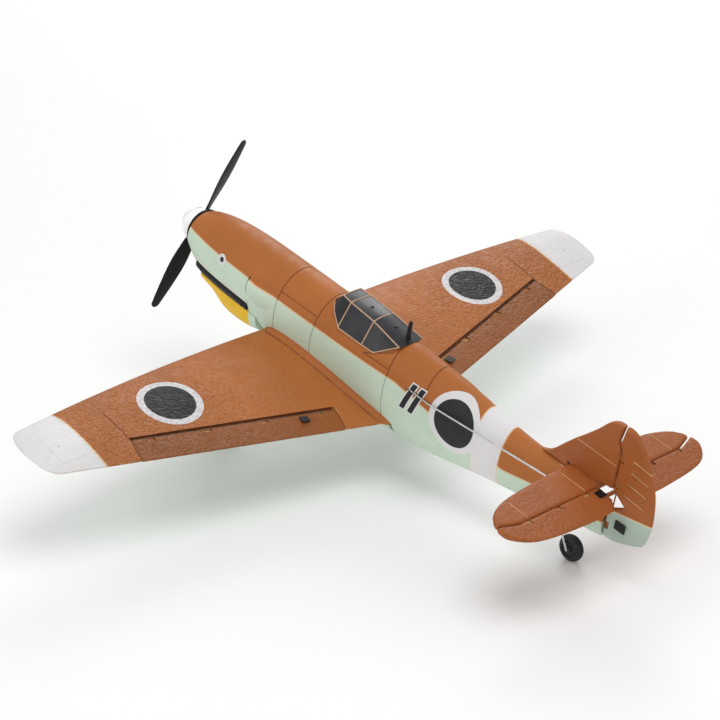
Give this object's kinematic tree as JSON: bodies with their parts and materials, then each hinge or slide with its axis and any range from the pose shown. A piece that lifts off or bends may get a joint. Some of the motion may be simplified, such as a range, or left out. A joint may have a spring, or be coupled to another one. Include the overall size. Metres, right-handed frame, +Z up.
{
  "type": "radio-controlled warbird plane",
  "caption": "Small foam low-wing fighter model with a two-blade propeller, ailerons, elevator, rudder and fixed taildragger wheels, standing on its wheels.",
  "frame": {"origin": "on the floor under the middle of the standing plane's bounding box", "axes": "+X towards the plane's left wing tip, +Y aft, +Z up; the plane stands nose-up on its three wheels"},
  "size_m": [0.4, 0.3545, 0.1428],
  "materials": {
    "foam_brown": "satin moulded foam",
    "foam_green": "satin moulded foam",
    "foam_yellow": "satin moulded foam",
    "canopy_black": "glossy",
    "black_plastic": "satin",
    "white_plastic": "satin",
    "steel_wire": "satin",
    "brass": "satin",
    "plywood": "matte",
    "battery_wrap": "glossy",
    "circuit_board": "satin",
    "wheel_rubber": "matte"
  },
  "bodies": {
    "airframe": {"fuselage_left": "foam_brown", "fuselage_right": "foam_brown", "belly_pan": "foam_green", "bay_magnets": "steel_wire", "canopy": "canopy_black", "antenna_mast": "canopy_black", "exhaust_left": "black_plastic", "exhaust_right": "black_plastic", "supercharger_intake": "foam_green", "wing_left": "foam_brown", "wing_right": "foam_brown", "wing_spars": "black_plastic", "aileron_hinges": "foam_brown", "aileron_servo_left": "black_plastic", "aileron_servo_right": "black_plastic", "stabilizer": "foam_brown", "fin": "foam_brown", "tail_hinges": "foam_brown", "servo_tray": "plywood", "elevator_servo": "black_plastic", "rudder_servo": "black_plastic", "motor_mount": "black_plastic", "shaft_bushes": "brass", "motor": "steel_wire", "battery_tray": "plywood", "battery": "battery_wrap", "battery_strap": "black_plastic", "receiver_board": "circuit_board", "gear_mounts": "black_plastic", "gear_legs": "steel_wire", "wheel_collars": "steel_wire", "tail_leg": "steel_wire"},
    "propeller_group": {"propeller": "black_plastic", "spinner": "white_plastic", "spinner_backplate": "black_plastic", "prop_shaft": "steel_wire", "spur_gear": "white_plastic"},
    "motor_rotor": {"motor_pinion": "brass"},
    "left_aileron": {"aileron_left": "foam_brown", "aileron_horn_left": "black_plastic"},
    "right_aileron": {"aileron_right": "foam_brown", "aileron_horn_right": "black_plastic"},
    "left_aileron_servo_arm": {"aileron_servo_arm_left": "white_plastic"},
    "right_aileron_servo_arm": {"aileron_servo_arm_right": "white_plastic"},
    "left_aileron_rod": {"aileron_rod_left": "steel_wire"},
    "right_aileron_rod": {"aileron_rod_right": "steel_wire"},
    "elevator_group": {"elevator": "foam_brown", "elevator_horn": "black_plastic"},
    "elevator_servo_arm_group": {"elevator_servo_arm": "white_plastic"},
    "elevator_rod_group": {"elevator_rod": "steel_wire"},
    "rudder_group": {"rudder": "foam_brown", "rudder_horn": "black_plastic"},
    "rudder_servo_arm_group": {"rudder_servo_arm": "white_plastic"},
    "rudder_rod_group": {"rudder_rod": "steel_wire"},
    "left_wheel": {"wheel_left": "wheel_rubber"},
    "right_wheel": {"wheel_right": "wheel_rubber"},
    "tail_wheel": {"tail_wheel": "wheel_rubber"},
    "hatch": {"battery_hatch": "foam_yellow", "hatch_magnets": "steel_wire"}
  },
  "joints": [
    {"name": "propeller_spin", "type": "hinge", "parent": "airframe", "child": "propeller_group", "pos_m": [0, -0.16518, 0.09542], "axis": [0, 0.9774, -0.2113], "continuous": true},
    {"name": "motor_spin", "type": "hinge", "parent": "airframe", "child": "motor_rotor", "pos_m": [0, -0.1498, 0.08329], "axis": [0, 0.9774, -0.2113], "continuous": true},
    {"name": "left_aileron_hinge", "type": "hinge", "parent": "airframe", "child": "left_aileron", "pos_m": [0.0912, -0.02938, 0.04845], "axis": [0.9699, -0.2212, 0.1013], "range_deg": [-20, 20]},
    {"name": "left_aileron_servo", "type": "hinge", "parent": "airframe", "child": "left_aileron_servo_arm", "pos_m": [0.04521, -0.04879, 0.05153], "axis": [0.9699, -0.2212, 0.1013], "range_deg": [-20, 20]},
    {"name": "left_aileron_linkage", "type": "hinge", "parent": "left_aileron_servo_arm", "child": "left_aileron_rod", "pos_m": [0.04559, -0.05046, 0.04423], "axis": [0.9699, -0.2212, 0.1013], "range_deg": [-20, 20]},
    {"name": "right_aileron_hinge", "type": "hinge", "parent": "airframe", "child": "right_aileron", "pos_m": [-0.0912, -0.02938, 0.04845], "axis": [0.9699, 0.2212, -0.1013], "range_deg": [-20, 20]},
    {"name": "right_aileron_servo", "type": "hinge", "parent": "airframe", "child": "right_aileron_servo_arm", "pos_m": [-0.04521, -0.04879, 0.05153], "axis": [0.9699, 0.2212, -0.1013], "range_deg": [-20, 20]},
    {"name": "right_aileron_linkage", "type": "hinge", "parent": "right_aileron_servo_arm", "child": "right_aileron_rod", "pos_m": [-0.04559, -0.05046, 0.04423], "axis": [0.9699, 0.2212, -0.1013], "range_deg": [-20, 20]},
    {"name": "elevator_hinge", "type": "hinge", "parent": "airframe", "child": "elevator_group", "pos_m": [0, 0.14459, 0.04891], "axis": [1, 0, 0], "range_deg": [-20, 20]},
    {"name": "elevator_servo_turn", "type": "hinge", "parent": "airframe", "child": "elevator_servo_arm_group", "pos_m": [0.0054, -0.02196, 0.06885], "axis": [0, 0.2113, 0.9774], "range_deg": [-20, 20]},
    {"name": "elevator_linkage", "type": "hinge", "parent": "elevator_servo_arm_group", "child": "elevator_rod_group", "pos_m": [0.0109, -0.02196, 0.06885], "axis": [0, 0.2113, 0.9774], "range_deg": [-20, 20]},
    {"name": "rudder_hinge", "type": "hinge", "parent": "airframe", "child": "rudder_group", "pos_m": [0, 0.15172, 0.04737], "axis": [0, 0.2113, 0.9774], "range_deg": [-20, 20]},
    {"name": "rudder_servo_turn", "type": "hinge", "parent": "airframe", "child": "rudder_servo_arm_group", "pos_m": [-0.0054, -0.02196, 0.06885], "axis": [0, 0.2113, 0.9774], "range_deg": [-20, 20]},
    {"name": "rudder_linkage", "type": "hinge", "parent": "rudder_servo_arm_group", "child": "rudder_rod_group", "pos_m": [-0.0109, -0.02196, 0.06885], "axis": [0, 0.2113, 0.9774], "range_deg": [-20, 20]},
    {"name": "left_wheel_spin", "type": "hinge", "parent": "airframe", "child": "left_wheel", "pos_m": [0.034, -0.10361, 0.013], "axis": [1, 0, 0], "continuous": true},
    {"name": "right_wheel_spin", "type": "hinge", "parent": "airframe", "child": "right_wheel", "pos_m": [-0.034, -0.10361, 0.013], "axis": [1, 0, 0], "continuous": true},
    {"name": "tail_wheel_spin", "type": "hinge", "parent": "airframe", "child": "tail_wheel", "pos_m": [0, 0.12433, 0.00725], "axis": [1, 0, 0], "continuous": true},
    {"name": "battery_hatch_pull", "type": "slide", "parent": "airframe", "child": "hatch", "axis": [0, -0.2113, -0.9774], "range_m": [0, 0.02]}
  ],
  "couplings": [
    {"joint": "motor_spin", "follows": "propeller_spin", "ratio": -5.3333},
    {"joint": "right_aileron_hinge", "follows": "left_aileron_hinge", "ratio": -1},
    {"joint": "left_aileron_servo", "follows": "left_aileron_hinge", "ratio": 1},
    {"joint": "left_aileron_linkage", "follows": "left_aileron_hinge", "ratio": -1},
    {"joint": "right_aileron_servo", "follows": "left_aileron_hinge", "ratio": -1},
    {"joint": "right_aileron_linkage", "follows": "left_aileron_hinge", "ratio": 1},
    {"joint": "elevator_servo_turn", "follows": "elevator_hinge", "ratio": 1},
    {"joint": "elevator_linkage", "follows": "elevator_hinge", "ratio": -1},
    {"joint": "rudder_servo_turn", "follows": "rudder_hinge", "ratio": 1},
    {"joint": "rudder_linkage", "follows": "rudder_hinge", "ratio": -1}
  ]
}
